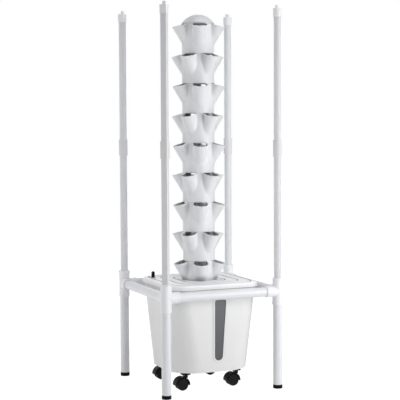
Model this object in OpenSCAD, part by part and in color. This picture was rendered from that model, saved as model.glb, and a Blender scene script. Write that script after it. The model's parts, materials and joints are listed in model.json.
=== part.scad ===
// Hydroponic tower: a stack of five-mouthed planting layers on a wheeled water tank,
// inside a free-standing square frame of pipes that carries four pairs of grow lamps.
// Millimetres. The origin is on the floor under the middle of the tower, +Z is up,
// and the tank's water window faces -Y.

/* [Frame pipes] */
// Distance between the axes of two neighbouring posts
post_spacing = 513; // [490:1:620]
// Outside diameter of the leg and beam pipes
pipe_d = 40; // [36:0.5:44]
// Wall of the leg and beam pipes
pipe_wall = 2.5; // [1.5:0.1:4]
// Height of the beam axes above the floor
beam_z = 419; // [380:1:470]
// Height of the foot caps below the legs
foot_h = 16.5; // [8:0.5:30]
// Depth of the foot caps' plugs inside the legs
foot_plug = 22; // [10:1:40]

/* [Corner fittings] */
// Wall of a fitting around its pipes
fitting_wall = 3.35; // [2.5:0.05:5]
// Length of each arm of a fitting, from the crossing to its mouth
fitting_arm = 58; // [52:1:75]
// Depth to which a pipe goes into an arm
socket_depth = 34; // [20:1:36]

/* [Lamps] */
// Width of a lamp across its light
lamp_w = 32.5; // [28:0.5:36]
// Depth of a lamp along its light
lamp_depth = 27; // [24:0.5:30]
// Length of one lamp tube
lamp_length = 586.5; // [400:1:900]
// Wall of the lamp housings and diffusers
lamp_wall = 1.8; // [1.2:0.1:2.5]
// Length of the sleeve that joins two lamps
coupling_h = 71; // [40:1:100]
// Wall of the joining sleeves
coupling_wall = 3.4; // [2:0.1:5]
// Height of the cap on top of each lamp pair
top_cap_h = 35; // [20:1:60]
// Wall of the top caps
cap_wall = 2.8; // [1.5:0.1:4]
// Height of the plug that stands on each top cap
end_plug_h = 14; // [6:0.5:20]

/* [Tank] */
// Side of the tank at its floor
tank_bottom = 365; // [340:1:380]
// Corner radius of the tank at its floor
tank_bottom_r = 122; // [90:1:140]
// Side of the tank under its rim
tank_top = 404; // [395:1:410]
// Corner radius of the tank under its rim
tank_top_r = 70; // [50:1:90]
// Height of the tank from its floor to its rim's top
tank_h = 376; // [300:1:390]
// Wall of the tank
tank_wall = 3.5; // [2.5:0.1:5]
// Height of the rim that the lid rests on
rim_h = 6.5; // [4:0.5:12]

/* [Water window] */
// Sideways place of the window's lower end on the front wall
window_x = 11; // [-30:0.5:30]
// Sideways shift of the window's upper end
window_lean = 3.5; // [-6:0.5:6]
// Width of the window's lower end
window_w = 37; // [25:1:50]
// Width of the window's upper end
window_top_w = 52.5; // [40:1:60]
// Height of the window's rounded lower end above the tank's floor
window_low = 49; // [40:1:120]
// Height of the window's upper end above the tank's floor
window_high = 311; // [220:1:320]
// Radius of the window's upper corners
window_r = 8; // [4:0.5:12]
// Width of the raised frame around the window
bezel_w = 8; // [4:0.5:12]

/* [Lid] */
// Side of the lid
lid_side = 414; // [411:1:424]
// Corner radius of the lid
lid_r = 66; // [56:1:80]
// Height of the lid from the lower edge of its skirt
lid_h = 20; // [20:0.5:30]
// Radius of the lid's rounded upper edge
lid_edge_r = 7; // [4:0.5:8]
// Thickness of the lid's top and skirt
lid_wall = 2.5; // [2:0.1:3]
// Half side of the innermost square groove
groove_first = 93; // [88:1:100]
// Distance from one square groove to the next
groove_pitch = 46; // [30:1:48]
// Width of the grooves
groove_w = 6; // [3:0.5:9]
// Depth of the grooves
groove_depth = 4.5; // [2:0.1:6]

/* [Tower] */
// Outside diameter of the tower's column
column_d = 140; // [130:1:146]
// Wall of the planting layers
layer_wall = 2.4; // [1.8:0.1:3.2]
// Height of one planting layer
layer_pitch = 128; // [115:1:150]
// Distance from the tower's axis to the outermost point of a pot's mouth
pot_reach = 118; // [112:1:124]
// Radius of a pot's mouth
pot_r = 34; // [32:0.5:37]
// Angle by which a pot leans outwards
pot_tilt = 25; // [22:1:28]
// Angle between a pot's axis and its wall
pot_flare = 7; // [4:1:9]
// Angle by which a pot's mouth slopes down outwards
mouth_slope = 16; // [12:1:20]
// Height of the thicker band around a pot's mouth
rim_band = 3.6; // [2:0.2:6]
// Direction of the top layer's first pot, turned from the front
tower_turn = -17; // [-36:1:36]
// Height of the dome that closes the top
dome_h = 42; // [30:1:50]

/* [Water circuit] */
// Outside diameter of the riser pipe
riser_d = 25; // [20:0.5:30]
// Wall of the riser pipe
riser_wall = 2; // [1.5:0.1:3]
// Width of the pump
pump_w = 86; // [60:1:110]
// Depth of the pump
pump_depth = 58; // [50:1:90]
// Height of the pump's body
pump_h = 60; // [45:1:90]
// Radius of the drip holes in the layer discs
drip_hole_r = 2.2; // [1.5:0.1:4]

/* [Casters] */
// Height of the casters, from the floor to the tank
caster_h = 77.5; // [74:0.5:90]
// Distance of each swivel axis from the tower's axis, along X
caster_x = 118; // [105:1:120]
// Distance of each swivel axis from the tower's axis, along Y
caster_y = 124; // [105:1:126]
// Diameter of the caster wheels
wheel_d = 50; // [44:1:52]
// Width of one caster wheel
wheel_w = 14; // [10:0.5:16]
// Distance from the swivel axis to the axle
trail = 18; // [14:0.5:20]
// Side of the square caster mounts
mount_side = 36; // [34:1:44]
// Height of the caster mounts, under the tank
mount_h = 12; // [8:0.5:14]

/* [Cable gland] */
// Place of the gland on the lid, along X
gland_x = -172; // [-176:1:-168]
// Place of the gland on the lid, along Y
gland_y = 114; // [60:1:120]
// Radius of the opening for a cable
cable_r = 3.5; // [2:0.1:4]

/* [Hidden] */
$fn = 96;

// Clearances: a pipe in its socket, a turning shaft in its bore, and parts that lift off
slip = 0.15;
running = 0.08;
loose = 0.5;
// The gap between parts on different bodies that rest on each other
seat_gap = 0.3;
// A cut runs this far past a face that it goes through
over = 1;
// Parts of one moulding run this far into each other
weld = 0.02;

// The four corners, anticlockwise from the front left, as signs of X and Y
CORNERS = [[-1, -1], [1, -1], [1, 1], [-1, 1]];
half = post_spacing / 2;

// Frame heights and lengths
pipe_r = pipe_d / 2;
bore_r = pipe_r + slip;
fitting_r = bore_r + fitting_wall;
seat_from_axis = fitting_arm - socket_depth;
leg_top = beam_z - seat_from_axis;
beam_end = seat_from_axis;
wire_r = pipe_r - pipe_wall - 3;

// Lamp heights and profile
lamp_foot = beam_z + seat_from_axis;
lamp_joint = lamp_foot + lamp_length;
lamp_top = lamp_joint + lamp_length;
lamp_r = lamp_w / 2;
lamp_back = lamp_depth - lamp_r;
shelf_t = 1.8;
strip_t = 1.4;
strip_w = 22;
// Thickness of the top caps' crowns
crown = 3;
// The direction of light is the +Y of a lamp's own frame, and it points at the tower
function lamp_turn(i) = atan2(CORNERS[i][0], -CORNERS[i][1]);

// Tank heights
tank_z = caster_h;
tank_rim_z = tank_z + tank_h;
floor_t = 4;
pad_t = 6;
pad_r = mount_side / 2 + 9;
// The rim is a little narrower than the tank, to leave room for the lid's rounded edge
rim_side = tank_top - 2;
rim_r = tank_top_r - 4;
function tank_side(z) = tank_bottom + (tank_top - tank_bottom) * (z - tank_z) / (tank_h - rim_h);
pane_t = 3;
pane_lap = 6;
bezel_t = 1.6;

// Lid heights
lid_top = tank_rim_z + seat_gap + lid_wall;
lid_low = lid_top - lid_h;
groove_count = 3;
socket_wall = 3;
socket_r = column_d / 2 + seat_gap;
ledge_t = 6;
ledge_w = 10;

// Tower heights: layer 1 is the top one, and the lowest layer stands in the lid's socket
layer_count = 9;
pot_count = 5;
column_r = column_d / 2;
column_bore = column_r - layer_wall;
// How far the lowest layer's seat stands above the lid
lowest_seat = 82.5;
function seat_z(layer) = lid_top + lowest_seat + layer_pitch * (layer_count - layer);
// A cut above a seat is taller than anything there
tall = 60;
function layer_turn(layer) = tower_turn + (layer % 2 == 0 ? 180 / pot_count : 0);
seat_t = 4;
seat_w = 10;
spigot_h = 5;
spigot_t = 2.4;
spigot_r = column_bore - loose;
tower_top = seat_z(1);
socket_floor = seat_z(layer_count) - layer_pitch;
disc_t = 1.8;
disc_r = spigot_r - spigot_t - loose;
// The pot's outer wall runs on from the mouth's centre line by this much before it meets the mouth
pot_extra = pot_r * sin(pot_tilt - mouth_slope) / cos(pot_tilt + pot_flare - mouth_slope);
pot_centre_r = pot_reach - pot_r * cos(pot_tilt) - pot_extra * sin(pot_tilt + pot_flare);
pot_centre_z = -(pot_centre_r - column_r) * tan(mouth_slope);
// The pot's foot ends inside the column
pot_depth = (pot_reach - column_r + 8) / sin(pot_tilt + pot_flare);
// Below the seat by this much, the pots' outer walls have run into the column
pot_foot = (pot_reach - column_r) * (tan(mouth_slope) + 1 / tan(pot_tilt + pot_flare));
// The socket's mouth opens out as the feet of the lowest pots do, with room around them
mouth_rise = max(pot_foot - lowest_seat + 2 * seat_gap, 1);
mouth_flare = mouth_rise * tan(pot_tilt + pot_flare);
band_t = 0.8;

// Water circuit
riser_r = riser_d / 2;
feet_h = 6;
pump_z = tank_z + floor_t + feet_h;
outlet_h = 22;
grille_t = 6;
grille_w = pump_w - 20;
grille_h = pump_h - 22;
grille_low = pump_z + 8;
outlet_r = riser_r - riser_wall - running;
riser_low = pump_z + pump_h + seat_gap;
riser_top = tower_top + 14;
jet_r = 1.5;
spreader_wall = 3;
spreader_h = 22;
spreader_flange_h = 3;
spreader_flange_w = 12;
dome_wall = 2.4;
// The dome's skirt goes past the top spigot before the dome curves in
dome_skirt = spigot_h + 1;

// Casters
wheel_r = wheel_d / 2;
axle_r = 3;
web_t = 8;
wheel_gap = 1;
kingpin_r = 4;
pin_head_r = 5.8;
pin_head_h = 2;
boss_r = 11;
hood_gap = 3;
hood_wall = 4.5;
// The hood's side edges end this far below the axle
hood_open = 3;
hood_r = wheel_r + hood_gap + hood_wall;
hood_half_w = web_t / 2 + wheel_gap + wheel_w + 0.5;
mount_low = caster_h - mount_h;
boss_top = mount_low - seat_gap;
boss_low = wheel_d + 1.5;
web_r = wheel_r - 2.5;
pin_low = boss_low - pin_head_h - seat_gap;
screw_r = 1.7;
screw_head_r = 3.2;
screw_head_h = 1.8;
screw_inset = 6;
screw_bite = 8;
function caster_at(i) = [CORNERS[i][0] * caster_x, CORNERS[i][1] * caster_y];

// Gland
gland_pad_r = 13;
gland_pad_h = 1.5;
gland_boss_h = 12;
thread_r = 6.2;
gland_flange_r = 8.4;
gland_flange_h = 6;
gland_nut_r = 7.5;
gland_nut_h = 22;
seal_r = 5.2;
seal_h = 12;
seal_lift = 1;
cable_room = 0.7;
// The gland's thread reaches this far below its flange, and this far above it
thread_low = 13;
thread_top = 5;
gland_z = lid_top + gland_pad_h;

WHITE = [0.93, 0.93, 0.95];
PIPE = [0.90, 0.90, 0.93];
GREY = [0.74, 0.74, 0.76];
BLACK = [0.06, 0.06, 0.07];
SMOKE = [0.30, 0.32, 0.35];

// A square plate with round corners, from z0 to z1
module round_square_2d(side, r) {
    square([side, side - 2 * r], center = true);
    square([side - 2 * r, side], center = true);
    for (c = CORNERS) translate(c * (side / 2 - r)) circle(r);
}
module round_plate(side, r, z0, z1) {
    translate([0, 0, z0]) linear_extrude(z1 - z0) round_square_2d(side, r);
}

// A round-cornered block whose upper edge is rounded with radius e
module edge_profile(w, h, e) {
    square([w, h - e]);
    square([w - e, h]);
    translate([w - e, h - e]) circle(e);
}
module soft_block(side, r, h, e) {
    c = side / 2 - r;
    for (a = [0:90:270]) rotate([0, 0, a]) {
        translate([c, c, 0]) rotate_extrude(angle = 90) edge_profile(r, h, e);
        rotate([90, 0, 0]) linear_extrude(2 * c, center = true) edge_profile(side / 2, h, e);
    }
}

// The tank's tapered body, drawn in by t on every side
module taper_end(side, r, z) {
    for (c = CORNERS) translate([c[0] * (side / 2 - r), c[1] * (side / 2 - r), z])
        cylinder(h = 0.01, r = r, $fn = 64);
}
module tank_taper(t) {
    hull() {
        taper_end(tank_bottom - 2 * t, tank_bottom_r - t, tank_z);
        taper_end(tank_top - 2 * t, tank_top_r - t, tank_rim_z - rim_h);
    }
}

// A slab that follows the slope of the front wall, from depth a to depth b inside it
module wall_slab(a, b) {
    z0 = tank_z;
    z1 = tank_rim_z - rim_h;
    y0 = -tank_side(z0) / 2;
    y1 = -tank_side(z1) / 2;
    rotate([90, 0, 90]) linear_extrude(200, center = true)
        polygon([[y0 + a, z0], [y0 + b, z0], [y1 + b, z1], [y1 + a, z1]]);
}
// The window's outline grown by g: round below, wider above
module window_2d(g) {
    w = window_w / 2 + g;
    wt = window_top_w / 2 + g;
    r = window_r + g;
    low = window_low + window_w / 2;
    high = window_high - window_r;
    translate([0, low]) circle(w);
    polygon([[-w, low], [w, low], [window_lean + wt, high], [window_lean - wt, high]]);
    translate([window_lean, high]) {
        for (s = [-1, 1]) translate([s * (wt - r), 0]) circle(r);
        translate([r - wt, 0]) square([2 * (wt - r), r]);
    }
}
module window_bar(g) {
    translate([window_x, -tank_bottom / 2 + 30, tank_z])
        rotate([90, 0, 0]) linear_extrude(80) window_2d(g);
}

// One leg: a pipe that stands on its foot cap and ends in its fitting
module leg(i) {
    color(PIPE) translate([CORNERS[i][0] * half, CORNERS[i][1] * half, 0]) difference() {
        translate([0, 0, foot_h]) cylinder(h = leg_top - foot_h, r = pipe_r);
        translate([0, 0, foot_h - over]) cylinder(h = leg_top - foot_h + 2 * over, r = pipe_r - pipe_wall);
    }
}

module foot_cap() {
    edge = 1.5;
    foot_r = pipe_r + 0.4;
    rotate_extrude() {
        square([foot_r - edge, foot_h]);
        translate([0, edge]) square([foot_r, foot_h - edge]);
        translate([foot_r - edge, edge]) circle(edge, $fn = 32);
    }
    translate([0, 0, foot_h]) cylinder(h = foot_plug, r = pipe_r - pipe_wall - slip);
}
module foot_caps() {
    color(BLACK) for (c = CORNERS) translate([c[0] * half, c[1] * half, 0]) foot_cap();
}

// A fitting: legs from below, lamps from above, and two beams at right angles
module fitting_arm_solid(r) {
    lip = 1.2;
    collar_h = 7.8;
    collar_t = 0.7;
    cylinder(h = fitting_arm - lip, r = r);
    cylinder(h = fitting_arm, r = r - lip);
    translate([0, 0, fitting_arm - lip - collar_h]) cylinder(h = collar_h, r = r + collar_t);
}
module along(dir) {
    // Turns +Z to a beam's direction: X or Y, with its sign
    if (dir[0] != 0) rotate([0, 90 * dir[0], 0]) children();
    else rotate([-90 * dir[1], 0, 0]) children();
}
module corner_fitting(i) {
    c = CORNERS[i];
    arms = [[-c[0], 0], [0, -c[1]]];
    color(WHITE) translate([c[0] * half, c[1] * half, beam_z]) difference() {
        union() {
            fitting_arm_solid(fitting_r);
            mirror([0, 0, 1]) fitting_arm_solid(fitting_r);
            for (a = arms) along(a) fitting_arm_solid(fitting_r);
        }
        for (s = [0, 1]) mirror([0, 0, s])
            translate([0, 0, seat_from_axis]) cylinder(h = socket_depth + over, r = bore_r);
        for (a = arms) along(a) translate([0, 0, seat_from_axis])
            cylinder(h = socket_depth + over, r = bore_r);
        cylinder(h = 2 * seat_from_axis + over, r = wire_r, center = true);
        for (a = arms) along(a) cylinder(h = seat_from_axis + over, r = wire_r);
    }
}

// A beam between fitting i and the next one
module beam(i) {
    long = post_spacing - 2 * beam_end;
    color(PIPE) rotate([0, 0, 90 * i]) translate([0, -half, beam_z]) rotate([0, 90, 0]) difference() {
        cylinder(h = long, r = pipe_r, center = true);
        cylinder(h = long + 2 * over, r = pipe_r - pipe_wall, center = true);
    }
}

// Lamp profile, grown by t: round at the front, flat at the back
module lamp_outline(t) {
    r = lamp_r + t;
    intersection() {
        circle(r);
        translate([-r - over, -lamp_back - t]) square([2 * (r + over), lamp_back + t + r + over]);
    }
}
module at_lamp(i) {
    translate([CORNERS[i][0] * half, CORNERS[i][1] * half, 0]) rotate([0, 0, lamp_turn(i)]) children();
}
module housing_2d() {
    inner = lamp_r - lamp_wall;
    difference() {
        intersection() {
            lamp_outline(0);
            translate([-lamp_w, -lamp_w]) square([2 * lamp_w, lamp_w]);
        }
        intersection() {
            circle(inner);
            translate([-lamp_w, lamp_wall - lamp_back])
                square([2 * lamp_w, lamp_back - lamp_wall - shelf_t - strip_t]);
        }
        translate([-strip_w / 2 - slip, -strip_t]) square([strip_w + 2 * slip, strip_t + over]);
    }
}
module lamp_housing(i, z0) {
    color(GREY) at_lamp(i) translate([0, 0, z0]) linear_extrude(lamp_length) housing_2d();
}
module diffuser_2d() {
    intersection() {
        difference() {
            circle(lamp_r);
            circle(lamp_r - lamp_wall);
        }
        translate([-lamp_w, 0]) square([2 * lamp_w, lamp_w]);
    }
}
module lamp_diffusers() {
    end_gap = 0.5;
    color(WHITE) for (i = [0:3]) for (z = [lamp_foot, lamp_joint]) at_lamp(i)
        translate([0, 0, z + end_gap]) linear_extrude(lamp_length - 2 * end_gap) diffuser_2d();
}
module led_strips() {
    end_gap = 6;
    color([0.95, 0.93, 0.80]) for (i = [0:3]) for (z = [lamp_foot, lamp_joint]) at_lamp(i)
        translate([-strip_w / 2, -strip_t, z + end_gap]) cube([strip_w, strip_t, lamp_length - 2 * end_gap]);
}
module lamp_sockets() {
    color(WHITE) for (i = [0:3]) at_lamp(i) difference() {
        translate([0, 0, lamp_foot]) cylinder(h = socket_depth, r = pipe_r);
        translate([0, 0, lamp_foot - over]) linear_extrude(socket_depth + 2 * over) lamp_outline(slip);
    }
}
module lamp_couplings() {
    color(WHITE) for (i = [0:3]) at_lamp(i) difference() {
        translate([0, 0, lamp_joint - coupling_h / 2])
            linear_extrude(coupling_h) lamp_outline(coupling_wall);
        translate([0, 0, lamp_joint - coupling_h / 2 - over])
            linear_extrude(coupling_h + 2 * over) lamp_outline(slip);
    }
}
module lamp_top_caps() {
    color(WHITE) for (i = [0:3]) at_lamp(i) difference() {
        translate([0, 0, lamp_top - top_cap_h + crown]) linear_extrude(top_cap_h) lamp_outline(cap_wall);
        translate([0, 0, lamp_top - top_cap_h + crown - over])
            linear_extrude(top_cap_h - crown + over) lamp_outline(slip);
    }
}
module lamp_end_plugs() {
    plug_w = 18;
    plug_t = 12.5;
    color(WHITE) for (i = [0:3]) at_lamp(i) translate([0, (lamp_r - lamp_back) / 2, lamp_top + crown])
        linear_extrude(end_plug_h) {
            square([plug_w - plug_t, plug_t], center = true);
            for (s = [-1, 1]) translate([s * (plug_w - plug_t) / 2, 0]) circle(plug_t / 2);
        }
}

// Tank: a tapered shell with a rim, a window slot and pads for the casters
module screw_places() {
    for (i = [0:3]) for (c = CORNERS)
        translate([caster_at(i)[0], caster_at(i)[1], 0] + [c[0], c[1], 0] * (mount_side / 2 - screw_inset))
            children();
}
module tank() {
    color(WHITE) difference() {
        union() {
            difference() {
                union() {
                    tank_taper(0);
                    round_plate(rim_side, rim_r, tank_rim_z - rim_h, tank_rim_z);
                }
                intersection() {
                    tank_taper(tank_wall);
                    translate([-tank_top / 2, -tank_top / 2, tank_z + floor_t])
                        cube([tank_top, tank_top, tank_h]);
                }
                round_plate(tank_top - 2 * tank_wall, tank_top_r - tank_wall,
                    tank_rim_z - rim_h - weld, tank_rim_z + over);
            }
            for (i = [0:3]) translate([caster_at(i)[0], caster_at(i)[1], tank_z + floor_t - 0.5])
                cylinder(h = pad_t + 0.5, r = pad_r);
        }
        window_bar(0);
        screw_places() translate([0, 0, tank_z - over]) cylinder(h = screw_bite + over, r = screw_r);
    }
}
module window_pane() {
    set_back = 1.2;
    color(SMOKE) {
        intersection() {
            window_bar(-slip);
            wall_slab(set_back, tank_wall);
        }
        intersection() {
            window_bar(pane_lap);
            wall_slab(tank_wall, tank_wall + pane_t);
        }
    }
}
module window_bezel() {
    color(WHITE) difference() {
        intersection() {
            window_bar(bezel_w);
            wall_slab(-bezel_t, 0);
        }
        window_bar(0);
    }
}

// Pump on the tank's floor, with its outlet under the riser pipe
module pump_body() {
    bore = outlet_r - 2.5;
    color([0.12, 0.13, 0.15]) difference() {
        union() {
            translate([-pump_w / 2, -pump_depth / 2, pump_z]) cube([pump_w, pump_depth, pump_h]);
            translate([0, 0, pump_z + pump_h]) cylinder(h = outlet_h, r = outlet_r);
        }
        translate([-grille_w / 2, -pump_depth / 2 - over, grille_low])
            cube([grille_w, grille_t + over, grille_h]);
        translate([0, 0, pump_z + pump_h / 2]) cylinder(h = pump_h / 2 + outlet_h + over, r = bore);
        translate([0, -pump_depth / 2 + grille_t - over, pump_z + pump_h / 2]) rotate([-90, 0, 0])
            cylinder(h = pump_depth / 2, r = bore + 2);
    }
}
module pump_intake() {
    slots = 7;
    slot_w = 4;
    edge = 6;
    step = grille_w / (slots + 1);
    color([0.18, 0.19, 0.21]) difference() {
        translate([slip - grille_w / 2, -pump_depth / 2, grille_low + slip])
            cube([grille_w - 2 * slip, grille_t, grille_h - 2 * slip]);
        for (k = [1:slots])
            translate([k * step - grille_w / 2 - slot_w / 2, -pump_depth / 2 - over, grille_low + edge])
                cube([slot_w, grille_t + 2 * over, grille_h - 2 * edge]);
    }
}
module pump_feet() {
    color(BLACK) for (sx = [-1, 1]) for (sy = [-1, 1])
        translate([sx * (pump_w / 2 - 12), sy * (pump_depth / 2 - 12), tank_z + floor_t])
            cylinder(h = feet_h, r1 = 10, r2 = 6);
}

// Casters: the plate and kingpin stay on the tank, the hood swivels, the wheels turn
module at_caster(i) {
    translate([caster_at(i)[0], caster_at(i)[1], 0]) children();
}
module at_axle() {
    translate([-trail, 0, wheel_r]) rotate([90, 0, 0]) children();
}
module caster_mounts() {
    color(BLACK) for (i = [0:3]) at_caster(i) difference() {
        union() {
            translate([0, 0, mount_low]) linear_extrude(mount_h) round_square_2d(mount_side, 5);
            translate([0, 0, pin_low]) cylinder(h = mount_low + over - pin_low, r = kingpin_r);
            translate([0, 0, pin_low]) cylinder(h = pin_head_h, r = pin_head_r);
        }
        for (c = CORNERS) translate([c[0], c[1], 0] * (mount_side / 2 - screw_inset))
            translate([0, 0, mount_low - over]) cylinder(h = mount_h + 2 * over, r = screw_r + slip);
    }
}
module caster_screws() {
    color([0.70, 0.70, 0.72]) screw_places() {
        translate([0, 0, mount_low - screw_head_h]) cylinder(h = screw_head_h, r = screw_head_r);
        translate([0, 0, mount_low]) cylinder(h = mount_h + screw_bite, r = screw_r);
    }
}
module caster_hood(i) {
    pin_room = pin_head_r + loose;
    color(BLACK) at_caster(i) difference() {
        union() {
            difference() {
                at_axle() cylinder(h = 2 * hood_half_w, r = hood_r, center = true);
                at_axle() cylinder(h = 2 * hood_half_w + 2 * over, r = hood_r - hood_wall, center = true);
                translate([-tall, -tall, -tall]) cube([2 * tall, 2 * tall, tall + wheel_r - hood_open]);
            }
            at_axle() cylinder(h = web_t, r = web_r, center = true);
            intersection() {
                at_axle() cylinder(h = web_t, r = hood_r - 1, center = true);
                translate([-tall, -tall, wheel_r]) cube(2 * tall);
            }
            translate([0, 0, boss_low]) cylinder(h = boss_top - boss_low, r = boss_r);
        }
        at_axle() cylinder(h = web_t + 2 * over, r = axle_r + running, center = true);
        translate([0, 0, boss_low - over])
            cylinder(h = mount_low - boss_low + over, r = kingpin_r + running);
        translate([0, 0, pin_low - over]) cylinder(h = boss_low - pin_low + over, r = pin_room);
    }
}
module wheel_half() {
    // One wheel's section: tread, recessed outer face and hub, with its inner face at 0
    edge = 2.5;
    rotate_extrude() difference() {
        union() {
            translate([axle_r, 0]) square([wheel_r - axle_r - edge, wheel_w]);
            translate([axle_r, edge]) square([wheel_r - axle_r, wheel_w - 2 * edge]);
            for (h = [edge, wheel_w - edge]) translate([wheel_r - edge, h]) circle(edge, $fn = 32);
        }
        translate([9, wheel_w - 2]) square([9, 2 + over]);
    }
}
module caster_wheels(i) {
    color([0.10, 0.10, 0.11]) at_caster(i) at_axle() {
        for (s = [0, 1]) mirror([0, 0, s]) translate([0, 0, web_t / 2 + wheel_gap]) wheel_half();
        cylinder(h = web_t + 2 * wheel_gap + 2 * wheel_w - 3, r = axle_r, center = true);
    }
}

// Lid: a skirted cover with three square grooves and the socket that holds the tower
module groove_ring(half_side, w, z0, z1) {
    r = lid_r * half_side / (lid_side / 2);
    difference() {
        round_plate(2 * half_side + w, r + w / 2, z0, z1);
        round_plate(2 * half_side - w, r - w / 2, z0 - over, z1 + over);
    }
}
module lid() {
    inner = lid_side - 2 * lid_wall;
    channel = 2 * lid_wall + groove_w;
    color(WHITE) difference() {
        union() {
            difference() {
                translate([0, 0, lid_low]) soft_block(lid_side, lid_r, lid_h, lid_edge_r);
                translate([0, 0, lid_low - over])
                    soft_block(inner, lid_r - lid_wall, lid_h - lid_wall + over, lid_edge_r - lid_wall);
            }
            for (k = [0:groove_count - 1])
                groove_ring(groove_first + k * groove_pitch, channel,
                    lid_top - groove_depth - lid_wall, lid_top - lid_wall / 2);
            translate([0, 0, socket_floor - ledge_t])
                cylinder(h = lid_top - socket_floor + ledge_t, r = socket_r + socket_wall);
            translate([0, 0, lid_top - mouth_rise]) cylinder(h = mouth_rise,
                r1 = socket_r + socket_wall, r2 = socket_r + socket_wall + mouth_flare);
            translate([gland_x, gland_y, lid_top - gland_boss_h])
                cylinder(h = gland_boss_h + gland_pad_h, r = gland_pad_r);
        }
        difference() {
            for (k = [0:groove_count - 1])
                groove_ring(groove_first + k * groove_pitch, groove_w,
                    lid_top - groove_depth, lid_top + over);
            translate([gland_x, gland_y, lid_top - gland_boss_h - over])
                cylinder(h = gland_boss_h + gland_pad_h + 2 * over, r = gland_pad_r);
        }
        translate([0, 0, socket_floor]) cylinder(h = lid_top - socket_floor + over, r = socket_r);
        translate([0, 0, lid_top - mouth_rise])
            cylinder(h = 2 * mouth_rise, r1 = socket_r, r2 = socket_r + 2 * mouth_flare);
        translate([0, 0, socket_floor - ledge_t - over])
            cylinder(h = ledge_t + 2 * over, r = column_r - ledge_w);
        translate([gland_x, gland_y, lid_top - gland_boss_h - over])
            cylinder(h = gland_boss_h + gland_pad_h + 2 * over, r = thread_r + slip);
    }
}

module at_gland() {
    translate([gland_x, gland_y, gland_z]) children();
}
module gland_body() {
    color(BLACK) at_gland() difference() {
        union() {
            translate([0, 0, -thread_low])
                cylinder(h = thread_low + gland_flange_h + thread_top, r = thread_r);
            cylinder(h = gland_flange_h, r = gland_flange_r, $fn = 6);
        }
        translate([0, 0, -thread_low - over]) cylinder(h = tall, r = cable_r + cable_room);
        translate([0, 0, gland_flange_h + seal_lift]) cylinder(h = tall, r = seal_r + slip);
    }
}
module gland_nut() {
    color(BLACK) at_gland() translate([0, 0, gland_flange_h]) difference() {
        union() {
            cylinder(h = gland_nut_h - gland_nut_r, r = gland_nut_r);
            translate([0, 0, gland_nut_h - gland_nut_r]) sphere(gland_nut_r);
        }
        translate([0, 0, -over]) cylinder(h = thread_top + over + slip, r = thread_r + slip);
        cylinder(h = seal_h + 2 * seal_lift, r = seal_r + slip);
        cylinder(h = tall, r = cable_r + cable_room);
    }
}
module gland_seal() {
    color([0.16, 0.16, 0.16]) at_gland() translate([0, 0, gland_flange_h + seal_lift]) difference() {
        cylinder(h = seal_h, r = seal_r);
        translate([0, 0, -over]) cylinder(h = seal_h + 2 * over, r = cable_r);
    }
}

// One planting layer: a column with five leaning pots that open into it, and a seat on top
module pot_cone(r) {
    past = 30;
    translate([0, -pot_centre_r, pot_centre_z]) rotate([pot_tilt, 0, 0]) translate([0, 0, -pot_depth])
        cylinder(h = pot_depth + past, r1 = r - pot_depth * tan(pot_flare), r2 = r + past * tan(pot_flare));
}
// What lies under the mouth's sloping plane, down to a depth
module under_mouth(depth) {
    translate([0, -column_r, 0]) rotate([mouth_slope, 0, 0]) translate([-column_r, -column_r, -depth])
        cube([2 * column_r, 2 * column_r, depth]);
}
module pot() {
    intersection() {
        pot_cone(pot_r);
        under_mouth(2 * pot_depth);
    }
    intersection() {
        pot_cone(pot_r + band_t);
        under_mouth(rim_band);
    }
}
module around_pots() {
    for (k = [0:pot_count - 1]) rotate([0, 0, k * 360 / pot_count]) children();
}
module layer(n) {
    color(WHITE) translate([0, 0, seat_z(n)]) rotate([0, 0, layer_turn(n)]) difference() {
        union() {
            translate([0, 0, -layer_pitch]) cylinder(h = layer_pitch, r = column_r);
            translate([0, 0, -seat_t]) cylinder(h = seat_t + spigot_h, r = spigot_r);
            around_pots() pot();
        }
        translate([0, 0, -layer_pitch - pot_depth])
            cylinder(h = layer_pitch + pot_depth - seat_t, r = column_bore);
        translate([0, 0, -seat_t - over]) cylinder(h = tall, r = column_r - seat_w);
        cylinder(h = tall, r = spigot_r - spigot_t);
        difference() {
            cylinder(h = tall, r = column_r + over);
            translate([0, 0, -over]) cylinder(h = tall + 2 * over, r = spigot_r);
        }
        around_pots() difference() {
            pot_cone(pot_r - layer_wall / cos(pot_flare));
            cylinder(h = tall, r = column_r);
        }
    }
}

// A perforated disc inside each layer's spigot, around the riser pipe
module drip_discs() {
    hole_ring = disc_r - 14;
    color([0.88, 0.89, 0.91]) for (n = [1:layer_count]) translate([0, 0, seat_z(n)]) difference() {
        cylinder(h = disc_t, r = disc_r);
        translate([0, 0, -over]) cylinder(h = disc_t + 2 * over, r = riser_r + loose);
        for (k = [0:9]) rotate([0, 0, 36 * k]) translate([hole_ring, 0, -over])
            cylinder(h = disc_t + 2 * over, r = drip_hole_r);
    }
}
module riser_pipe() {
    color([0.90, 0.91, 0.93]) difference() {
        translate([0, 0, riser_low]) cylinder(h = riser_top - riser_low, r = riser_r);
        translate([0, 0, riser_low - over])
            cylinder(h = riser_top - riser_low + 2 * over, r = riser_r - riser_wall);
    }
}
module water_spreader() {
    z = tower_top + disc_t;
    hub_r = riser_r + slip + spreader_wall;
    color([0.88, 0.89, 0.91]) difference() {
        union() {
            translate([0, 0, z]) cylinder(h = spreader_h, r = hub_r);
            translate([0, 0, z + spreader_h - spreader_flange_h])
                cylinder(h = spreader_flange_h, r1 = hub_r, r2 = hub_r + spreader_flange_w);
        }
        translate([0, 0, z - over]) cylinder(h = riser_top - z + over, r = riser_r + slip);
        translate([0, 0, z]) cylinder(h = spreader_h - spreader_flange_h, r = riser_r - riser_wall);
        for (k = [0:5]) rotate([0, 90, 60 * k]) translate([-(riser_top + 2 * jet_r), 0, 0])
            cylinder(h = 60, r = jet_r);
    }
}

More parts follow.
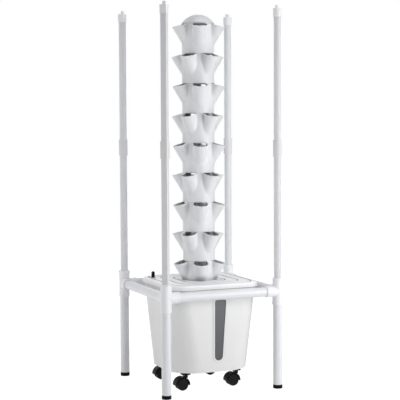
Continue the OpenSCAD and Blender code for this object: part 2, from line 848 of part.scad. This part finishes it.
// The dome: part of a sphere with three thin rings, over a short skirt
module dome_cap() {
    rise = dome_h - dome_skirt;
    r_out = column_r - 0.1;
    rings = [22, 40, 55];
    ring_r = 0.9;
    ball = (r_out * r_out + rise * rise) / (2 * rise);
    ball_z = tower_top + dome_h - ball;
    color(WHITE) difference() {
        union() {
            intersection() {
                translate([0, 0, ball_z]) sphere(ball);
                translate([0, 0, tower_top + dome_skirt]) cylinder(h = dome_h, r = r_out);
            }
            translate([0, 0, tower_top]) cylinder(h = dome_skirt, r = r_out);
            for (r = rings) translate([0, 0, ball_z + sqrt(ball * ball - r * r)])
                rotate_extrude() translate([r, 0]) circle(ring_r, $fn = 16);
        }
        intersection() {
            translate([0, 0, ball_z]) sphere(ball - dome_wall);
            translate([0, 0, tower_top + dome_skirt]) cylinder(h = dome_h, r = r_out - dome_wall);
        }
        translate([0, 0, tower_top - over]) cylinder(h = dome_skirt + over + weld, r = r_out - dome_wall);
    }
}

leg(0);  // leg_front_left
leg(1);  // leg_front_right
leg(2);  // leg_back_right
leg(3);  // leg_back_left
corner_fitting(0);  // fitting_front_left
corner_fitting(1);  // fitting_front_right
corner_fitting(2);  // fitting_back_right
corner_fitting(3);  // fitting_back_left
beam(0);  // beam_front
beam(1);  // beam_right
beam(2);  // beam_back
beam(3);  // beam_left
foot_caps();
lamp_housing(0, lamp_foot);  // lower_lamp_front_left
lamp_housing(1, lamp_foot);  // lower_lamp_front_right
lamp_housing(2, lamp_foot);  // lower_lamp_back_right
lamp_housing(3, lamp_foot);  // lower_lamp_back_left
lamp_housing(0, lamp_joint);  // upper_lamp_front_left
lamp_housing(1, lamp_joint);  // upper_lamp_front_right
lamp_housing(2, lamp_joint);  // upper_lamp_back_right
lamp_housing(3, lamp_joint);  // upper_lamp_back_left
lamp_diffusers();
led_strips();
lamp_sockets();
lamp_couplings();
lamp_top_caps();
lamp_end_plugs();
tank();
window_pane();
window_bezel();
pump_body();
pump_intake();
pump_feet();
caster_mounts();
caster_screws();
caster_hood(0);  // caster_hood_1
caster_hood(1);  // caster_hood_2
caster_hood(2);  // caster_hood_3
caster_hood(3);  // caster_hood_4
caster_wheels(0);  // caster_wheels_1
caster_wheels(1);  // caster_wheels_2
caster_wheels(2);  // caster_wheels_3
caster_wheels(3);  // caster_wheels_4
lid();
gland_body();
gland_nut();
gland_seal();
layer(1);  // layer_1
layer(2);  // layer_2
layer(3);  // layer_3
layer(4);  // layer_4
layer(5);  // layer_5
layer(6);  // layer_6
layer(7);  // layer_7
layer(8);  // layer_8
layer(9);  // layer_9
drip_discs();
riser_pipe();
water_spreader();
dome_cap();
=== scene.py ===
import json
import math

import bpy
import numpy as np
from mathutils import Euler, Matrix, Vector


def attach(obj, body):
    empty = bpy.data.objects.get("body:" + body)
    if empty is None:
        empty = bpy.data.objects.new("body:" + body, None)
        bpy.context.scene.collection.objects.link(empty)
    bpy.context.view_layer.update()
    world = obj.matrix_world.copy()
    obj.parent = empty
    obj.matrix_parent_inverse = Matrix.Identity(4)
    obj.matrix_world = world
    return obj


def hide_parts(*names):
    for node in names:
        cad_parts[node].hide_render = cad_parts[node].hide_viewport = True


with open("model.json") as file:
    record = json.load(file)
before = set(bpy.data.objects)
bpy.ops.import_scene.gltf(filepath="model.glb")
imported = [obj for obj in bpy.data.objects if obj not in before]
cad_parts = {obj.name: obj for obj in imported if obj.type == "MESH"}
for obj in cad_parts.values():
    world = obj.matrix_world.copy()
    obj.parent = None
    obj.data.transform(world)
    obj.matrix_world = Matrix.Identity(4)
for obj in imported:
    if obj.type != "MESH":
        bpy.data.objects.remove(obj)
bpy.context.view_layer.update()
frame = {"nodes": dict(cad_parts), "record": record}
nodes = frame["nodes"]

LAYERS = 9

# Camera: it stands in front and to the left, a little above the object's middle
CAMERA_AT = (-2.076, -4.915, 1.160)
CAMERA_AZIMUTH = -22.96
CAMERA_PITCH = -3.84
CAMERA_ROLL = -0.27
CAMERA_LENS = 110.2
CAMERA_SENSOR = 36

# Lamps: name, place, point that it faces, width, height, power in watts, and whether gloss shows it
LAMPS = (
    ("key_light", (1.5, -2.4, 1.0), (0, 0, 0.75), 1.4, 2.0, 54, True),
    ("left_light", (-3.0, 0.8, 1.0), (0, 0, 0.7), 1.6, 2.0, 29, True),
    ("fill_light", (-3.2, -1.6, 0.9), (0, 0, 0.6), 1.6, 1.8, 12, True),
    ("back_light", (0.9, 3.4, 1.3), (0, 0, 0.7), 2.2, 2.2, 66, False),
    ("top_light", (0.3, -0.3, 4.6), (0, 0, 0.8), 2.4, 2.4, 70, True),
)
WORLD_LEVEL = 0.16
FLOOR_SIZE = 30
FLOOR_DROP = 0.0005
FLOOR_BOUNCE = 0.80
FLOOR_GLOW = 0.96
FLOOR_SHADE = 0.24

# One layer, in millimetres, with its seat at height 0 and a pot towards +X
COLUMN_R = 70.0
LAYER_PITCH = 128.0
LAYER_WALL = 2.4
LOWEST_SEAT = 538.8
TOWER_TURN = -17.0
POT_COUNT = 5
POT_R = 34.0
POT_TILT = math.radians(25)
POT_FLARE = math.tan(math.radians(7))
POT_CENTRE = (84.25, -4.09)
MOUTH_SLOPE = math.tan(math.radians(16))
FILLET = 5.0
BAND_DEPTH = 3.6
BAND_OUT = 0.8
LIP_CROWN = 0.35
SPIGOT_OUT = COLUMN_R - LAYER_WALL - 0.5
SPIGOT_IN = SPIGOT_OUT - 2.4
SPIGOT_LOW = -0.3
SPIGOT_TOP = 5
SPIGOT_EDGE = 0.6
SEAT_IN = 60
SEAT_OUT = 68.4
SEAT_DEPTH = 4
SEAT_HALF = math.radians(7.5)
SEAT_STEPS = 10
# Points round a layer, rings up its outer skin, and the radii between which the skin is looked for
AROUND = 240
WALL_RINGS = 40
FARTHEST_R = 132
NEAREST_R = 60
# How far below the lip each ring of the inner skin lies
INNER_FALLS = (0.5, 2, 5, 9, 14, 20, 28, 38, 50, 64, 80, 100)
# Painted shade deep inside a pot: its colour, and the depths in metres between which the shell's own
# colour turns to it
POT_PAINTED_SHADE = (0.42, 0.42, 0.43)
POT_DIM_FROM = 0.0003
POT_DIM_TO = 0.009


def set_camera():
    data = bpy.data.cameras.new("camera")
    data.lens = CAMERA_LENS
    data.sensor_width = CAMERA_SENSOR
    data.clip_end = 60
    camera = bpy.data.objects.new("camera", data)
    bpy.context.scene.collection.objects.link(camera)
    aim = Euler((math.pi / 2 + math.radians(CAMERA_PITCH), 0, math.radians(CAMERA_AZIMUTH)), "XYZ")
    roll = Matrix.Rotation(math.radians(CAMERA_ROLL), 4, "Z")
    camera.matrix_world = Matrix.Translation(CAMERA_AT) @ aim.to_matrix().to_4x4() @ roll
    bpy.context.scene.camera = camera


class Graph:
    """A material's node graph, with short calls for the nodes that the finishes share."""

    def __init__(self, name):
        self.material = bpy.data.materials.new(name)
        self.material.use_nodes = True
        self.tree = self.material.node_tree
        self.shader = self.tree.nodes["Principled BSDF"]
        self.output = self.tree.nodes["Material Output"]
        self.place = self.add("ShaderNodeTexCoord").outputs["Object"]

    def add(self, kind, **settings):
        node = self.tree.nodes.new(kind)
        for key, value in settings.items():
            setattr(node, key, value)
        return node

    def link(self, source, target):
        self.tree.links.new(source, target)

    def put(self, socket, value):
        if hasattr(value, "is_output"):
            self.link(value, socket)
        else:
            socket.default_value = value

    def math(self, operation, a, b=0.0, clamp=False):
        node = self.add("ShaderNodeMath", operation=operation, use_clamp=clamp)
        self.put(node.inputs[0], a)
        self.put(node.inputs[1], b)
        return node.outputs[0]

    def ramp(self, value, low, high, out_low=0.0, out_high=1.0, smooth=True):
        node = self.add("ShaderNodeMapRange")
        node.interpolation_type = "SMOOTHSTEP" if smooth else "LINEAR"
        for socket, item in zip(("Value", "From Min", "From Max", "To Min", "To Max"),
                                (value, low, high, out_low, out_high)):
            self.put(node.inputs[socket], item)
        return node.outputs[0]

    def noise(self, scale, detail=2.0, rough=0.5, stretch=None):
        place = self.place
        if stretch:
            mapping = self.add("ShaderNodeMapping")
            mapping.inputs["Scale"].default_value = stretch
            self.link(place, mapping.inputs["Vector"])
            place = mapping.outputs[0]
        node = self.add("ShaderNodeTexNoise")
        node.inputs["Scale"].default_value = scale
        node.inputs["Detail"].default_value = detail
        node.inputs["Roughness"].default_value = rough
        self.link(place, node.inputs["Vector"])
        return node.outputs["Fac"]

    def mix(self, factor, first, second):
        node = self.add("ShaderNodeMix", data_type="RGBA")
        self.put(node.inputs[0], factor)
        for socket, value in ((node.inputs[6], first), (node.inputs[7], second)):
            if not hasattr(value, "is_output"):
                value = (*value, 1.0)
            self.put(socket, value)
        return node.outputs[2]

    def axis(self, name):
        node = self.add("ShaderNodeSeparateXYZ")
        self.link(self.place, node.inputs[0])
        return node.outputs[name]

    def shaded(self, tint, distance, share):
        """Paints shade into the colour in narrow gaps and grooves, down to a share of it."""
        node = self.add("ShaderNodeAmbientOcclusion", samples=6)
        node.inputs["Distance"].default_value = distance
        deep = self.add("ShaderNodeMix", data_type="RGBA", blend_type="MULTIPLY")
        deep.inputs[0].default_value = 1.0
        self.put(deep.inputs[6], tint)
        deep.inputs[7].default_value = (share, share, share, 1)
        return self.mix(self.ramp(node.outputs["AO"], 0.30, 0.85), deep.outputs[2], tint)

    def surface(self, color, roughness, normal_edge=0.0, bumps=()):
        """Links the colour and roughness, and a normal made of a softened edge and layers of bumps."""
        self.put(self.shader.inputs["Base Color"], color)
        self.put(self.shader.inputs["Roughness"], roughness)
        normal = None
        if normal_edge:
            bevel = self.add("ShaderNodeBevel", samples=6)
            bevel.inputs["Radius"].default_value = normal_edge
            normal = bevel.outputs[0]
        for height, depth in bumps:
            bump = self.add("ShaderNodeBump")
            bump.inputs["Strength"].default_value = 1.0
            bump.inputs["Distance"].default_value = depth
            self.link(height, bump.inputs["Height"])
            if normal:
                self.link(normal, bump.inputs["Normal"])
            normal = bump.outputs[0]
        if normal:
            self.link(normal, self.shader.inputs["Normal"])


def moulded(name, color, roughness, edge=0.0006, grain=900, grain_depth=0.00003, mottle=0.03,
            wave=0.00012, shade_reach=0.0, share=0.4):
    """Moulded plastic: slight colour drift, a fine grain, and the faint waves of a cooled wall; where a
    reach is given, painted shade in gaps and grooves.
    """
    g = Graph(name)
    drift = g.noise(9, 3, 0.55)
    darker = tuple(c * (1 - mottle) for c in color)
    warmer = (min(color[0] * 1.01, 1), color[1], color[2] * (1 - mottle / 3))
    tint = g.mix(drift, darker, warmer)
    # Painted shade in gaps and grooves, over the given reach, down to the given share
    if shade_reach:
        tint = g.shaded(tint, shade_reach, share)
    rough = g.ramp(g.noise(60, 3, 0.6), 0.3, 0.7, roughness - 0.04, roughness + 0.05)
    g.surface(tint, rough, edge, ((g.noise(14, 1, 0.4), wave), (g.noise(grain, 2, 0.5), grain_depth)))
    return g


def extruded(name, color, roughness, along="Z", edge=0.0004):
    """Extruded profile: very fine lines along its length over a smooth skin."""
    g = Graph(name)
    stretch = {"Z": (1, 1, 0.012), "X": (0.012, 1, 1), "Y": (1, 0.012, 1)}[along]
    lines = g.noise(1400, 2, 0.5, stretch)
    drift = g.noise(6, 3, 0.5)
    tint = g.mix(drift, tuple(c * 0.97 for c in color), color)
    rough = g.ramp(lines, 0.35, 0.65, roughness - 0.03, roughness + 0.05)
    g.surface(tint, rough, edge, ((lines, 0.00001), (g.noise(20, 1, 0.4), 0.00008)))
    return g


def tower_plastic(name, shell, depth):
    """The tower: a satin white shell, with painted shade in its creases and in the valleys between the
    pots. Where depth is set, shade is also painted inside each pot, darker further below its lip.
    """
    g = Graph(name)
    drift = g.noise(11, 3, 0.55)
    # Painted shade in creases and in the valleys between the pots
    tint = g.shaded(g.mix(drift, tuple(c * 0.965 for c in shell), shell), 0.035, 0.5)
    if depth:
        # Painted shade inside each pot, darker with depth below the lip
        down = g.add("ShaderNodeAttribute", attribute_name="depth").outputs["Fac"]
        tint = g.mix(g.ramp(down, POT_DIM_FROM, POT_DIM_TO), tint, POT_PAINTED_SHADE)
    rough = g.ramp(g.noise(70, 3, 0.6), 0.3, 0.7, 0.36, 0.46)
    g.surface(tint, rough, 0.0, ((g.noise(16, 1, 0.4), 0.00016), (g.noise(1000, 2, 0.5), 0.00003)))
    g.shader.inputs["Specular IOR Level"].default_value = 0.45
    return g.material


def dark_rubber(name, color, roughness):
    g = Graph(name)
    dust = g.ramp(g.noise(45, 4, 0.6), 0.52, 0.75)
    tint = g.mix(dust, color, tuple(c * 1.6 + 0.002 for c in color))
    rough = g.ramp(g.noise(120, 3, 0.6), 0.3, 0.7, roughness - 0.06, roughness + 0.06)
    g.surface(tint, rough, 0.0005, ((g.noise(1200, 2, 0.5), 0.00004),))
    g.shader.inputs["Specular IOR Level"].default_value = 0.08
    return g


def wheel_plastic():
    """The wheels: a smooth tread that has picked up a little dust."""
    g = Graph("wheel_plastic")
    dust = g.ramp(g.noise(80, 4, 0.65), 0.45, 0.8, 0.0, 0.6)
    tint = g.mix(dust, (0.003, 0.003, 0.0035), (0.015, 0.015, 0.015))
    rough = g.ramp(g.noise(200, 2, 0.5), 0.3, 0.7, 0.36, 0.5)
    g.surface(tint, rough, 0.0006, ((g.noise(1500, 2, 0.5), 0.00003),))
    g.shader.inputs["Specular IOR Level"].default_value = 0.12
    return g.material


def smoked_window():
    """The smoked window: glossy neutral grey, darker towards the bottom."""
    g = Graph("smoked_window")
    level = g.ramp(g.axis("Z"), 0.13, 0.38, 0.0, 1.0, smooth=False)
    tint = g.mix(level, (0.080, 0.082, 0.086), (0.128, 0.131, 0.137))
    cloud = g.noise(18, 2, 0.5)
    tint = g.mix(g.ramp(cloud, 0.3, 0.7, 0.0, 0.2), tint, (0.10, 0.102, 0.108))
    g.surface(tint, g.ramp(cloud, 0.3, 0.7, 0.14, 0.2), 0.0004, ((g.noise(25, 1, 0.4), 0.00008),))
    return g.material


def diffuser():
    """Milky lamp cover: fine prisms along its length, with a soft depth."""
    g = Graph("diffuser")
    lines = g.noise(1800, 1, 0.5, (1, 1, 0.004))
    tint = g.mix(g.noise(8, 2, 0.5), (0.69, 0.70, 0.725), (0.73, 0.74, 0.755))
    g.surface(tint, g.ramp(lines, 0.35, 0.65, 0.40, 0.5), 0.0003, ((lines, 0.00002),))
    g.shader.inputs["Subsurface Weight"].default_value = 0.12
    g.shader.inputs["Subsurface Radius"].default_value = (0.01, 0.01, 0.01)
    return g.material


def led_board():
    """A board with a row of diodes along its length."""
    g = Graph("led_board")
    z = g.axis("Z")
    step = g.math("ABSOLUTE", g.math("SUBTRACT", g.math("FRACT", g.math("MULTIPLY", z, 110.0)), 0.5))
    diode = g.ramp(step, 0.16, 0.2, 1.0, 0.0)
    tint = g.mix(diode, (0.86, 0.86, 0.84), (0.85, 0.66, 0.16))
    g.surface(tint, g.ramp(g.noise(80, 2, 0.5), 0.3, 0.7, 0.35, 0.45), 0.0, ((diode, 0.0003),))
    return g.material


def zinc_steel():
    g = Graph("zinc_steel")
    tint = g.mix(g.noise(300, 3, 0.6), (0.50, 0.50, 0.52), (0.66, 0.66, 0.68))
    rough = g.ramp(g.noise(500, 2, 0.5), 0.3, 0.7, 0.28, 0.42)
    g.surface(tint, rough, 0.0002, ((g.noise(900, 2, 0.5), 0.00002),))
    g.shader.inputs["Metallic"].default_value = 1.0
    return g.material


def make_finishes():
    """A finish for each material slot, and one for the couplings, which are greyer than their slot."""
    made = {
        # The dome and the rest of the tower_plastic slot get a darker copy of the layers' white plastic:
        # painted shade
        "tower_plastic": tower_plastic("tower_plastic", (0.62, 0.63, 0.645), False),
        "smoked_window": smoked_window(),
        "diffuser": diffuser(),
        "led_board": led_board(),
        "wheel_plastic": wheel_plastic(),
        "zinc_steel": zinc_steel(),
    }
    # What makes the finish, and its settings
    rows = (
        # The tank and the lid end with a reach and a share of painted shade in their gaps and grooves
        (moulded, "tank_plastic", (0.775, 0.78, 0.78), 0.42, 0.0012, 700, 0.00004, 0.025, 0.0002,
         0.02, 0.25),
        (moulded, "lid_plastic", (0.93, 0.935, 0.95), 0.48, 0.0007, 600, 0.00008, 0.03, 0.00015,
         0.012, 0.35),
        (moulded, "fitting_plastic", (0.84, 0.85, 0.875), 0.33, 0.0008, 900, 0.00003, 0.02),
        (moulded, "lamp_couplings", (0.70, 0.70, 0.72), 0.4, 0.0006),
        (moulded, "water_plastic", (0.78, 0.79, 0.81), 0.4),
        (extruded, "pipe_plastic", (0.77, 0.78, 0.81), 0.28),
        (extruded, "lamp_housing", (0.70, 0.70, 0.73), 0.38),
        (dark_rubber, "black_rubber", (0.003, 0.003, 0.0035), 0.62),
        (dark_rubber, "black_plastic", (0.0035, 0.0035, 0.004), 0.42),
        (dark_rubber, "pump_plastic", (0.02, 0.021, 0.025), 0.4),
    )
    for make, name, *settings in rows:
        made[name] = make(name, *settings).material
    return made


def dress_nodes(finishes):
    slots = {row["node"]: row["material_slot"] for row in frame["record"]["subparts"]}
    for name, obj in nodes.items():
        finish = finishes.get(name, finishes[slots[name]])
        obj.data.materials.clear()
        obj.data.materials.append(finish)


def soft_union(a, b, reach):
    """Joins two distance fields, with a fillet of about this reach where they meet."""
    h = np.clip(reach - np.abs(a - b), 0, None) / reach
    return np.minimum(a, b) - h * h * reach / 4


def layer_field(r, angle, z):
    """Distance to one layer's outer skin, as if the mouths weren't cut, at polar points of a layer."""
    sector = 2 * math.pi / POT_COUNT
    local = (angle + sector / 2) % sector - sector / 2
    u = r * np.cos(local) - POT_CENTRE[0]
    v = r * np.sin(local)
    w = z - POT_CENTRE[1]
    up = u * math.sin(POT_TILT) + w * math.cos(POT_TILT)
    out = u * math.cos(POT_TILT) - w * math.sin(POT_TILT)
    pot = (np.hypot(out, v) - POT_R - up * POT_FLARE) * math.cos(math.atan(POT_FLARE))
    return soft_union(r - COLUMN_R, pot, FILLET)


def skin_radius(angles, heights, inset):
    """Outermost radius at which the field is -inset, for each angle and height."""
    r = np.linspace(FARTHEST_R, NEAREST_R, 361)
    f = layer_field(r[None, None, :], angles[:, None, None], heights[None, :, None]) + inset
    first = np.argmax(f < 0, axis=2)
    i, j = np.indices(first.shape)
    f1 = f[i, j, first]
    f0 = f[i, j, first - 1]
    step = r[0] - r[1]
    return r[first] + step * f1 / (f1 - f0)


def mouth_line(angles, heights, radii):
    """Height at which each angle's skin meets the sloping mouth."""
    top = np.empty(len(angles))
    for i in range(len(angles)):
        over = heights + (radii[i] - COLUMN_R) * MOUTH_SLOPE
        k = int(np.argmax(over > 0))
        t = over[k - 1] / (over[k - 1] - over[k])
        top[i] = heights[k - 1] + t * (heights[k] - heights[k - 1])
    return top


def ring_faces(rings, count, first=0):
    """Quads between rings of count vertices each."""
    faces = []
    for k in range(rings - 1):
        a = first + k * count
        for i in range(count):
            j = (i + 1) % count
            faces.append((a + i, a + j, a + count + j, a + count + i))
    return faces


def lathe(profile, count, verts, faces):
    """Adds a closed ring with the given outline of (radius, height) points."""
    first = len(verts)
    n = len(profile)
    for i in range(count):
        a = 2 * math.pi * i / count
        verts.extend((r * math.cos(a), r * math.sin(a), z) for r, z in profile)
    for i in range(count):
        a = first + i * n
        b = first + (i + 1) % count * n
        for k in range(n):
            m = (k + 1) % n
            faces.append((a + k, b + k, b + m, a + m))


class LayerShell:
    """Rings of points for one layer's skins, with each point's depth below the lip in metres."""

    def __init__(self):
        self.angles = np.arange(AROUND) * 2 * math.pi / AROUND
        # Heights at which the skins are worked out, closer together near the mouths
        self.heights = np.concatenate((np.linspace(-LAYER_PITCH, -32, 49), np.linspace(-31, 4, 71)))
        self.bottom = np.full(AROUND, -LAYER_PITCH)
        self.skin = {}
        self.lip = {}
        for side, inset in (("out", 0.0), ("in", LAYER_WALL)):
            self.skin[side] = skin_radius(self.angles, self.heights, inset)
            self.lip[side] = mouth_line(self.angles, self.heights, self.skin[side])
        self.verts = []
        self.depth = []
        self.rings = 0

    def radius(self, side, i, z):
        return np.interp(z, self.heights, self.skin[side][i])

    def ring(self, side, z, outwards=0.0, down=0.0):
        """One ring on a skin, moved outwards where a pot stands out from the column."""
        for i, a in enumerate(self.angles):
            r = self.radius(side, i, z[i])
            r += outwards * float(np.clip((r - COLUMN_R - 1) / 3, 0, 1))
            self.verts.append((r * math.cos(a), r * math.sin(a), z[i]))
            self.depth.append(down)
        self.rings += 1

    def crown_ring(self, share):
        """One ring of the rounded lip, this share of the way from the outer skin to the inner one."""
        rise = LIP_CROWN * min(1, 4 * share * (1 - share))
        for i, a in enumerate(self.angles):
            z0 = self.lip["out"][i]
            z1 = self.lip["in"][i]
            r0 = self.radius("out", i, z0)
            r1 = self.radius("in", i, z1)
            r = r0 + (r1 - r0) * share
            z = z0 + (z1 - z0) * share
            z += rise * float(np.clip((r - COLUMN_R) / 3, 0, 1))
            self.verts.append((r * math.cos(a), r * math.sin(a), z))
            self.depth.append(0.0)
        self.rings += 1


def add_seats(verts, faces):
    """The five seats that the next layer's spigot stands on, between the pots."""
    profile = ((SEAT_IN, -SEAT_DEPTH), (SEAT_OUT, -SEAT_DEPTH), (SEAT_OUT, 0), (SEAT_IN, 0))
    for p in range(POT_COUNT):
        middle = (p + 0.5) * 2 * math.pi / POT_COUNT
        base = len(verts)
        for k in range(SEAT_STEPS + 1):
            a = middle + SEAT_HALF * (2 * k / SEAT_STEPS - 1)
            for r, z in profile:
                verts.append((r * math.cos(a), r * math.sin(a), z))
        for k in range(SEAT_STEPS):
            b = base + 4 * k
            for m in range(4):
                n = (m + 1) % 4
                faces.append((b + m, b + 4 + m, b + 4 + n, b + n))
        faces.append((base, base + 1, base + 2, base + 3))
        end = base + 4 * SEAT_STEPS
        faces.append((end + 3, end + 2, end + 1, end))


def layer_mesh():
    """One planting layer: a column that swells into five leaning pots, with a fillet round each."""
    shell = LayerShell()
    lip = shell.lip
    bottom = shell.bottom
    # Outer skin from the lower edge up to the band, then the band and the lip
    for k in range(WALL_RINGS):
        t = k / (WALL_RINGS - 1)
        t = t + 0.25 * t * (1 - t)
        shell.ring("out", bottom + t * (lip["out"] - BAND_DEPTH - bottom))
    shell.ring("out", lip["out"] - BAND_DEPTH + 0.5, BAND_OUT)
    shell.ring("out", lip["out"] - 1.2, BAND_OUT)
    shell.ring("out", lip["out"] - LIP_CROWN, BAND_OUT - 0.1)
    for share in (0.12, 0.35, 0.65, 0.88):
        shell.crown_ring(share)
    # Inner skin down to the lower edge, where it closes on the outer one
    for fall in INNER_FALLS:
        # Each inner ring carries its depth below the lip, which sets the painted shade inside the pots
        shell.ring("in", np.maximum(lip["in"] - fall, bottom), 0.0, fall / 1000)
    shell.ring("in", bottom, 0.0, 0.12)
    verts = shell.verts
    faces = ring_faces(shell.rings, AROUND)
    last = (shell.rings - 1) * AROUND
    for i in range(AROUND):
        j = (i + 1) % AROUND
        faces.append((last + i, last + j, j, i))
    spigot = ((SPIGOT_OUT, SPIGOT_LOW), (SPIGOT_OUT, SPIGOT_TOP - SPIGOT_EDGE),
              (SPIGOT_OUT - SPIGOT_EDGE, SPIGOT_TOP), (SPIGOT_IN, SPIGOT_TOP), (SPIGOT_IN, SPIGOT_LOW))
    lathe(spigot, AROUND, verts, faces)
    add_seats(verts, faces)
    depth = shell.depth + [0.0] * (len(verts) - len(shell.depth))
    mesh = bpy.data.meshes.new("layer_shell")
    mesh.from_pydata([tuple(c / 1000 for c in v) for v in verts], [], faces)
    row = mesh.attributes.new("depth", "FLOAT", "POINT")
    row.data.foreach_set("value", depth)
    mesh.validate()
    mesh.shade_smooth()
    return mesh


def make_layers(finish):
    shape = layer_mesh()
    shape.materials.append(finish)
    for n in range(1, LAYERS + 1):
        obj = bpy.data.objects.new("layer_shell_%d" % n, shape)
        bpy.context.scene.collection.objects.link(obj)
        seat = LOWEST_SEAT + LAYER_PITCH * (LAYERS - n)
        turn = TOWER_TURN - 90 + (180 / POT_COUNT if n % 2 == 0 else 0)
        obj.rotation_euler.z = math.radians(turn)
        obj.location.z = seat / 1000
        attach(obj, "tower")
        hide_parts("layer_%d" % n)


def background_rays(tree):
    """1 for the rays that see the background: the camera's own, and those off gloss or through glass."""
    path = tree.nodes.new("ShaderNodeLightPath")
    total = path.outputs["Is Camera Ray"]
    for kind in ("Is Glossy Ray", "Is Transmission Ray"):
        either = tree.nodes.new("ShaderNodeMath")
        either.operation = "MAXIMUM"
        tree.links.new(total, either.inputs[0])
        tree.links.new(path.outputs[kind], either.inputs[1])
        total = either.outputs[0]
    return total


def make_stage():
    mesh = bpy.data.meshes.new("studio_floor")
    h = FLOOR_SIZE / 2
    mesh.from_pydata([(-h, -h, 0), (h, -h, 0), (h, h, 0), (-h, h, 0)], [], [(0, 1, 2, 3)])
    floor = bpy.data.objects.new("studio_floor", mesh)
    floor.location.z = -FLOOR_DROP
    bpy.context.scene.collection.objects.link(floor)
    mat = bpy.data.materials.new("studio_floor")
    mat.use_nodes = True
    tree = mat.node_tree
    tree.nodes.clear()
    out = tree.nodes.new("ShaderNodeOutputMaterial")
    bounce = tree.nodes.new("ShaderNodeBsdfDiffuse")
    bounce.inputs["Color"].default_value = (FLOOR_BOUNCE,) * 3 + (1,)
    shade = tree.nodes.new("ShaderNodeBsdfDiffuse")
    shade.inputs["Color"].default_value = (FLOOR_SHADE,) * 3 + (1,)
    glow = tree.nodes.new("ShaderNodeEmission")
    glow.inputs["Strength"].default_value = FLOOR_GLOW
    seen = tree.nodes.new("ShaderNodeAddShader")
    tree.links.new(shade.outputs[0], seen.inputs[0])
    tree.links.new(glow.outputs[0], seen.inputs[1])
    pick = tree.nodes.new("ShaderNodeMixShader")
    tree.links.new(background_rays(tree), pick.inputs[0])
    tree.links.new(bounce.outputs[0], pick.inputs[1])
    tree.links.new(seen.outputs[0], pick.inputs[2])
    tree.links.new(pick.outputs[0], out.inputs[0])
    mesh.materials.append(mat)


def make_world():
    world = bpy.data.worlds.new("studio")
    world.use_nodes = True
    bpy.context.scene.world = world
    tree = world.node_tree
    light = tree.nodes["Background"]
    light.inputs["Color"].default_value = (1, 1, 1, 1)
    light.inputs["Strength"].default_value = WORLD_LEVEL
    white = tree.nodes.new("ShaderNodeBackground")
    white.inputs["Color"].default_value = (1, 1, 1, 1)
    white.inputs["Strength"].default_value = 1.0
    pick = tree.nodes.new("ShaderNodeMixShader")
    tree.links.new(background_rays(tree), pick.inputs[0])
    tree.links.new(light.outputs[0], pick.inputs[1])
    tree.links.new(white.outputs[0], pick.inputs[2])
    tree.links.new(pick.outputs[0], tree.nodes["World Output"].inputs[0])


def make_lamps():
    for name, place, aim, width, height, power, gloss in LAMPS:
        data = bpy.data.lights.new(name, "AREA")
        data.shape = "RECTANGLE"
        data.size = width
        data.size_y = height
        data.energy = power
        lamp = bpy.data.objects.new(name, data)
        lamp.location = place
        lamp.visible_glossy = gloss
        lamp.rotation_euler = (Vector(aim) - Vector(place)).to_track_quat("-Z", "Y").to_euler()
        bpy.context.scene.collection.objects.link(lamp)


set_camera()
bpy.context.scene.view_settings.view_transform = "Standard"
make_stage()
make_world()
make_lamps()
dress_nodes(make_finishes())
# The layers' finish paints shade inside the pots by depth, and in the creases and valleys
make_layers(tower_plastic("layer_plastic", (0.80, 0.81, 0.83), True))
